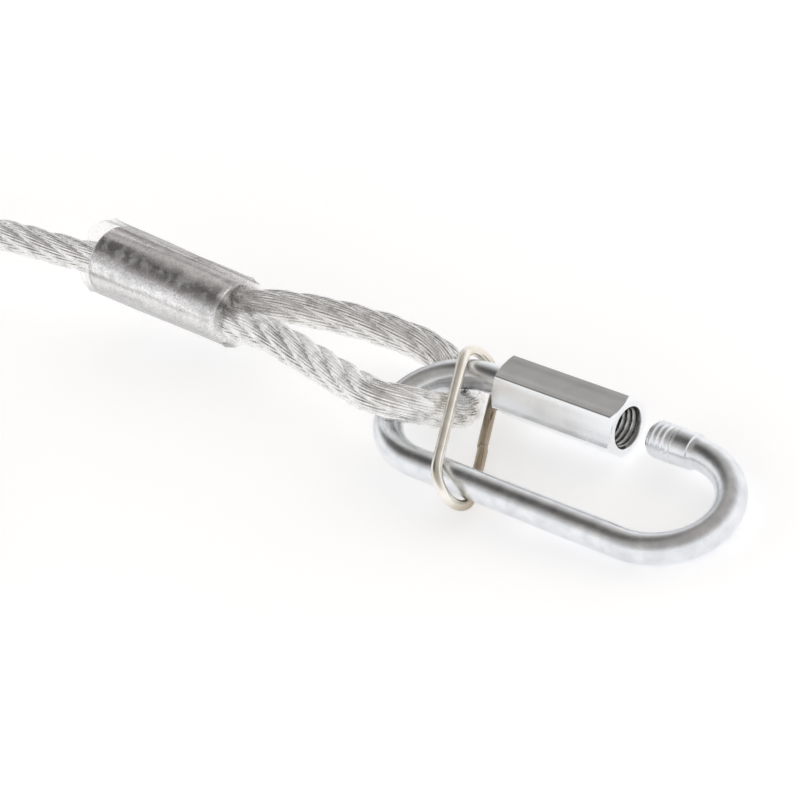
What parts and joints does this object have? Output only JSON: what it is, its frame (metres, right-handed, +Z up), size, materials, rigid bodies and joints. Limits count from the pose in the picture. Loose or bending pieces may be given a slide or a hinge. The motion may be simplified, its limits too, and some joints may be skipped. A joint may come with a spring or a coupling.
{
  "type": "wire rope tether with screw quick link",
  "caption": "Wire rope tether with pressed eyes in clear sleeves; an unscrewed oval quick link with a wire retaining clip sits in one eye.",
  "frame": {"origin": "on the surface the tether lies on, under the middle of the box round the quick link, its nut and its clip", "axes": "+X along the quick link towards the end away from the rope, +Y from the plain arm towards the arm with the nut, +Z up"},
  "size_m": [0.2763, 0.0914, 0.0222],
  "materials": {
    "zinc": "bright zinc plating, satin",
    "clip_wire": "drawn spring wire, warm nickel tone, polished",
    "wire_rope": "galvanised stranded wire rope",
    "aluminium": "pressed, scratched and shiny",
    "clear_sleeve": "clear shrunk plastic film, glossy",
    "tie_plastic": "matt strap"
  },
  "bodies": {
    "rope": {"rope_eye_near": "wire_rope", "rope_live_leg_near": "wire_rope", "rope_dead_end_near": "wire_rope", "ferrule_near": "aluminium", "ferrule_sleeve_near": "clear_sleeve", "rope_line": "wire_rope", "rope_coil": "wire_rope", "coil_tie": "tie_plastic", "rope_far_lead": "wire_rope", "rope_live_leg_far": "wire_rope", "rope_dead_end_far": "wire_rope", "ferrule_far": "aluminium", "ferrule_sleeve_far": "clear_sleeve", "rope_eye_far": "wire_rope"},
    "link": {"quick_link_body": "zinc"},
    "nut": {"quick_link_nut": "zinc"},
    "clip": {"retaining_clip": "clip_wire"}
  },
  "joints": [
    {"name": "link_swing", "type": "hinge", "parent": "rope", "child": "link", "pos_m": [-0.02936, 0.0001, 0.00873], "axis": [-0.0091, -0.9954, -0.095], "range_deg": [0, 36]},
    {"name": "nut_screw", "type": "slide", "parent": "link", "child": "nut", "axis": [0.9954, 0, -0.0958], "range_m": [0, 0.0099]},
    {"name": "clip_rock", "type": "hinge", "parent": "link", "child": "clip", "pos_m": [-0.01706, -0.00032, 0.00771], "axis": [-0.4539, 0.8817, 0.1286], "range_deg": [0, 12]}
  ]
}
